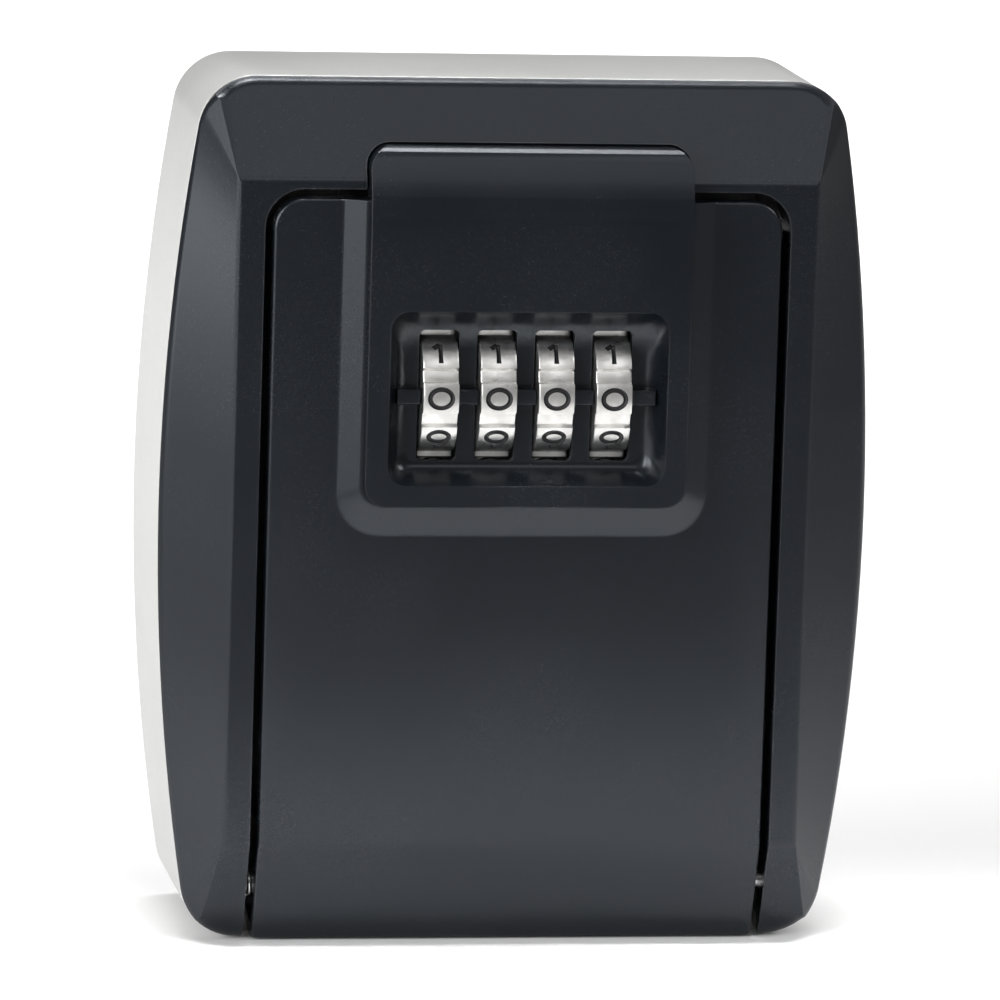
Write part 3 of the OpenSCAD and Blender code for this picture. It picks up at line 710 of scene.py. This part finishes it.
scoop = [(45 * mm, filled(rounded(recess_x + 0.35 * mm, recess_foot - 0.2 * mm, recess_top + 0.35 * mm, 2.6 * mm, 2.6 * mm), 14))]
for i in range(15):
    t = math.radians(25 + 65 * i / 14)
    sunk = (math.sin(t) - math.sin(math.radians(25))) / (1 - math.sin(math.radians(25)))
    s = 1 - math.cos(t) / math.cos(math.radians(25))
    scoop.append((tab_deep + 0.01 * mm - (tab_deep - recess_deep) * sunk,
                  filled(rounded(recess_x + (0.35 - 3.0 * s) * mm, recess_foot + (2.8 * s - 0.2) * mm,
                                 recess_top + (0.35 - 5.6 * s) * mm, (2.6 - s) * mm, (2.6 - s) * mm), 14)))
recess = loft("recess", scoop)
mesh = edit(recess)
bpy.ops.mesh.select_all(action="SELECT")
bpy.ops.mesh.normals_make_consistent(inside=False)
bpy.ops.object.mode_set(mode="OBJECT")
rib = loft("rib", [(30 * mm, rounded(recess_x - 0.9 * mm, axle_z - 1.1 * mm, axle_z + 1.1 * mm, 0.2 * mm, 0.2 * mm)),
                   (37.45 * mm, rounded(recess_x - 0.9 * mm, axle_z - 1.1 * mm, axle_z + 1.1 * mm, 0.2 * mm, 0.2 * mm)),
                   (37.63 * mm, rounded(recess_x - 0.95 * mm, axle_z - 1.05 * mm, axle_z + 1.05 * mm, 0.2 * mm, 0.2 * mm)),
                   (37.75 * mm, rounded(recess_x - 1.05 * mm, axle_z - 0.92 * mm, axle_z + 0.92 * mm, 0.2 * mm, 0.2 * mm)),
                   (37.8 * mm, rounded(recess_x - 1.2 * mm, axle_z - 0.75 * mm, axle_z + 0.75 * mm, 0.2 * mm, 0.2 * mm))])
work(recess, "DIFFERENCE", rib)
work(lock_face, "UNION", block("floor_plate", (-20.6 * mm, 20.6 * mm), (34.5 * mm, bevel_deep + 0.3 * mm), (4.5 * mm, 30 * mm)))
work(lock_face, "DIFFERENCE", recess)
for x in wheel_places:
    slot = rounded(2.75 * mm, axle_z - 9.1 * mm, axle_z + 9.1 * mm, 0.7 * mm, 0.7 * mm)
    cutter = loft("slot", [(30 * mm, slot), (45 * mm, slot)])
    cutter.data.transform(Matrix.Translation((x, 0, 0)))
    work(lock_face, "DIFFERENCE", cutter)


def on_slot(p):
    return any(abs(abs(p.x - x) - 2.75 * mm) < 0.02 * mm for x in wheel_places) or abs(abs(p.z - axle_z) - 9.1 * mm) < 0.02 * mm


round_edges(lock_face, 0.22 * mm, 2, lambda a, b, m, n: on_slot(a) and on_slot(b) and min(m.y, n.y) < -0.5
            and abs(max(m.y, n.y)) < 0.1 and max(a.y, b.y) < -recess_deep + 0.05 * mm)
complete(lock_face, satin_black, "door", "lock_face", angle=24)

# ---- Number wheels --------------------------------------------------------------------------
# Four nickel-plated die-cast wheels. Each has ten pads with a shallow flute between them, and a
# digit from 0 to 9 engraved in each pad and filled with black paint.
wheel_low, wheel_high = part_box("number_wheel_1")
wheel_radius, wheel_wide = (wheel_high.z - wheel_low.z) / 2, wheel_high.x - wheel_low.x

nickel, spot, put = finish_named("nickel_plate")
cast, ripple, cloud = grain(spot, 1300, 3.0, 0.55), grain(spot, 420, 2.0), grain(spot, 5000, 2.0)
put(Base_Color=ripple.ramp(0.3, 0.75).tint((0.70, 0.69, 0.67), (0.90, 0.89, 0.87)), Metallic=1.0,
    Roughness=cast * 0.20 + cloud * 0.10 + 0.17)
put(Normal=spot.node("Bump", Strength=0.6, Distance=0.08 * mm, Height=cast * 0.7 + ripple))
digit_paint, spot, put = finish_named("digit_paint")
cast = grain(spot, 4000, 2.0)
put(Base_Color=cast.ramp(0.3, 0.7).tint((0.006, 0.006, 0.007), (0.014, 0.014, 0.016)), Roughness=cast * 0.3 + 0.35)
put(Normal=spot.node("Bump", Strength=0.2, Distance=0.02 * mm, Height=cast))


def arc(x, z, wide, high, start, end):
    """Part of an ellipse, from one direction to another in degrees."""
    steps = max(6, int(abs(end - start) / 15))
    return [(x + wide * math.cos(math.radians(start + (end - start) * i / steps)),
             z + high * math.sin(math.radians(start + (end - start) * i / steps))) for i in range(steps + 1)]


digits = [
    [arc(0, 0, 1, 1, 0, 360)],
    [[(-0.62, 0.5), (-0.05, 0.98)], [(0, 1), (0, -1)]],
    [arc(0, 0.45, 0.9, 0.55, 165, -35), [(0.74, 0.15), (-0.9, -0.95)], [(-0.95, -1), (1, -1)]],
    [arc(0, 0.5, 0.85, 0.5, 150, -80), arc(0, -0.47, 0.95, 0.53, 80, -150)],
    [[(0.35, -1), (0.35, 1)], [(0.3, 1), (-1, -0.3)], [(-1, -0.4), (1, -0.4)]],
    [[(0.85, 1), (-0.8, 1)], [(-0.75, 1), (-0.85, 0.1)], arc(0, -0.35, 0.95, 0.65, 140, -150)],
    [arc(0, -0.4, 0.9, 0.6, 0, 360), [(-0.88, -0.3), (-0.55, 0.55), (0.3, 1)]],
    [[(-0.95, 1), (0.95, 1)], [(0.85, 1), (-0.2, -1)]],
    [arc(0, 0.5, 0.78, 0.5, 0, 360), arc(0, -0.48, 0.95, 0.52, 0, 360)],
    [arc(0, 0.4, 0.9, 0.6, 0, 360), [(0.88, 0.3), (0.55, -0.55), (-0.3, -1)]],
]


def wheel(name, x):
    """A wheel: a fluted cylinder with rounded rims, bored through, with the digits cut into its pads."""
    bpy.ops.object.select_all(action="DESELECT")
    bpy.ops.mesh.primitive_cylinder_add(vertices=240, radius=wheel_radius, depth=wheel_wide, rotation=(0, math.pi / 2, 0))
    made = bpy.context.object
    made.name = made.data.name = name
    bpy.ops.object.transform_apply()
    mesh = edit(made)
    for v in mesh.verts:
        turn = math.degrees(math.atan2(v.co.z, -v.co.y))
        off = abs((turn + 18) % 36 - 18)
        pad = 0.10 * mm * min(1.0, off / 12) ** 2
        dip = min(1.0, max(0.0, (off - 12) / 1.5))
        sunk = pad + 0.6 * mm * dip * dip * (3 - 2 * dip)
        v.co.y *= 1 - sunk / wheel_radius
        v.co.z *= 1 - sunk / wheel_radius
    bmesh.update_edit_mesh(made.data)
    bpy.ops.object.mode_set(mode="OBJECT")
    round_edges(made, 0.22 * mm, 2, lambda a, b, m, n: max(abs(m.x), abs(n.x)) > 0.9 and min(abs(m.x), abs(n.x)) < 0.5)
    made.data.materials.append(nickel)
    made.data.materials.append(digit_paint)
    for number, strokes in enumerate(digits):
        for points in strokes:
            shape = bpy.data.curves.new("digit", "CURVE")
            shape.dimensions, shape.bevel_depth, shape.bevel_resolution, shape.use_fill_caps = "3D", 0.35 * mm, 2, True
            line = shape.splines.new("POLY")
            ring = points[0] == points[-1] or math.dist(points[0], points[-1]) < 1e-6
            kept = points[:-1] if ring else points
            line.points.add(len(kept) - 1)
            line.use_cyclic_u = ring
            for point, (across_pad, up_pad) in zip(line.points, kept):
                tilt = math.radians(36 * number) + up_pad * (1.45 if number else 1.3) * mm / wheel_radius
                reach = wheel_radius - 0.055 * mm
                point.co = (across_pad * 1.55 * mm, -reach * math.cos(tilt), reach * math.sin(tilt), 1)
            drawn = bpy.data.objects.new("digit", shape)
            scene.collection.objects.link(drawn)
            bpy.ops.object.select_all(action="DESELECT")
            drawn.select_set(True)
            bpy.context.view_layer.objects.active = drawn
            bpy.ops.object.convert(target="MESH")
            edit(drawn)
            bpy.ops.mesh.select_all(action="SELECT")
            bpy.ops.mesh.remove_doubles(threshold=0.001 * mm)
            bpy.ops.mesh.normals_make_consistent(inside=False)
            bpy.ops.object.mode_set(mode="OBJECT")
            drawn.data.materials.clear()
            drawn.data.materials.append(digit_paint)
            work(made, "DIFFERENCE", drawn)
    inner = bar("bore", 3.9 * mm, (-wheel_wide, wheel_wide), 0, 0, 48)
    cup = bar("cup", 5.6 * mm, (0.9 * mm, wheel_wide), 0, 0, 48)
    work(made, "DIFFERENCE", inner, cup)
    made.data.transform(Matrix.Translation((x, axle_y, axle_z)))
    return made


first_wheel = wheel("wheel_1", wheel_places[0])
wheels = [first_wheel]
for number, x in enumerate(wheel_places[1:], 2):
    copy = bpy.data.objects.new(f"wheel_{number}", first_wheel.data.copy())
    copy.data.name = copy.name
    copy.data.transform(Matrix.Translation((x - wheel_places[0], 0, 0)))
    scene.collection.objects.link(copy)
    wheels.append(copy)
for number, made in enumerate(wheels, 1):
    bpy.ops.object.select_all(action="DESELECT")
    bpy.context.view_layer.objects.active = made
    made.select_set(True)
    bpy.ops.object.shade_smooth_by_angle(angle=math.radians(30))
    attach(made, f"wheel_{number}")
    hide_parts(f"number_wheel_{number}")

# ---- Lock housing, cover and screws ---------------------------------------------------------
# A bare zinc die casting behind the door carries the shaft and guides the latch bar. A plated
# steel cover closes its back, held by four small screws that run through into the lock face.
bare_zinc, spot, put = finish_named("bare_zinc")
skin, flow, broad = grain(spot, 1800, 3.0, 0.6), grain(spot, 260, 4.0, 0.6, (1, 1, 0.35)), grain(spot, 60, 2.0)
put(Base_Color=(flow * 0.6 + broad * 0.4).ramp(0.3, 0.7).tint((0.30, 0.31, 0.32), (0.44, 0.44, 0.45)), Metallic=0.9,
    Roughness=skin * 0.2 + flow * 0.15 + 0.32)
put(Normal=spot.node("Bump", Strength=0.4, Distance=0.05 * mm, Height=skin + flow * 0.5))
for name, finish in (("lock_housing", bare_zinc), ("lock_cover", zinc_plate)):
    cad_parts[name].data.materials.clear()
    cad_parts[name].data.materials.append(finish)

bolts_low, bolts_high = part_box("lock_screws")
lock_screws = joined([screw("screw", 1.8 * mm, 1.1 * mm, 0.95 * mm, bolts_high.y - bolts_low.y - 1.1 * mm,
                            (x, bolts_high.y - 1.1 * mm, z), (0, -1, 0))
                      for x in (-19.2 * mm, 19.2 * mm) for z in (6 * mm, 39.2 * mm)], "lock_screw_set")
complete(lock_screws, screw_steel, "door", "lock_screws")

# ---- Shaft and cams -------------------------------------------------------------------------
# The ground shaft carries four brass cams, one in each wheel. A cam's hub has a key for the
# wheel's notches, and its cup has one gate that the latch bar's tooth rises through.
brass, spot, put = finish_named("brass")
turned, stain = grain(spot, 1400, 2.0, stretch=(5, 1, 1)), grain(spot, 300, 3.0)
put(Base_Color=stain.ramp(0.35, 0.7).tint((0.62, 0.44, 0.18), (0.78, 0.58, 0.27)), Metallic=1.0,
    Roughness=turned * 0.2 + stain * 0.12 + 0.14)
put(Normal=spot.node("Bump", Strength=0.3, Distance=0.03 * mm, Height=turned))
for name in ("wheel_shaft", "gate_cam_1", "gate_cam_2", "gate_cam_3", "gate_cam_4"):
    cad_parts[name].data.materials.clear()
    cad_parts[name].data.materials.append(ground_steel if name == "wheel_shaft" else brass)

# ---- Springs, latch bar and reset lever -----------------------------------------------------
# A leaf spring clicks each wheel into place, a wave spring presses the cams over, and two coils
# push the plated latch bar up. The red-painted lever on the cover shifts the cams to set a code.
spring_strip, spot, put = finish_named("spring_strip")
rolled, heat = grain(spot, 1300, 2.0, stretch=(0.2, 1, 1)), grain(spot, 200, 2.0)
put(Base_Color=heat.ramp(0.35, 0.7).tint((0.50, 0.50, 0.51), (0.60, 0.58, 0.54)), Metallic=1.0,
    Roughness=rolled * 0.16 + 0.16)
put(Normal=spot.node("Bump", Strength=0.25, Distance=0.02 * mm, Height=rolled))
red_paint, spot, put = finish_named("red_paint")
skin, wear = grain(spot, 2400, 2.0), grain(spot, 380, 4.0, 0.6)
put(Base_Color=wear.ramp(0.60, 0.72).tint((0.42, 0.02, 0.018), (0.30, 0.13, 0.11)),
    Roughness=skin * 0.15 + wear * 0.2 + 0.25)
put(Normal=spot.node("Bump", Strength=0.3, Distance=0.04 * mm, Height=skin - wear * 0.3))
for name, finish in (("detent_spring", spring_strip), ("wave_spring", spring_strip), ("latch_springs", ground_steel),
                     ("latch_bar", zinc_plate), ("reset_lever", red_paint)):
    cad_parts[name].data.materials.clear()
    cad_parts[name].data.materials.append(finish)
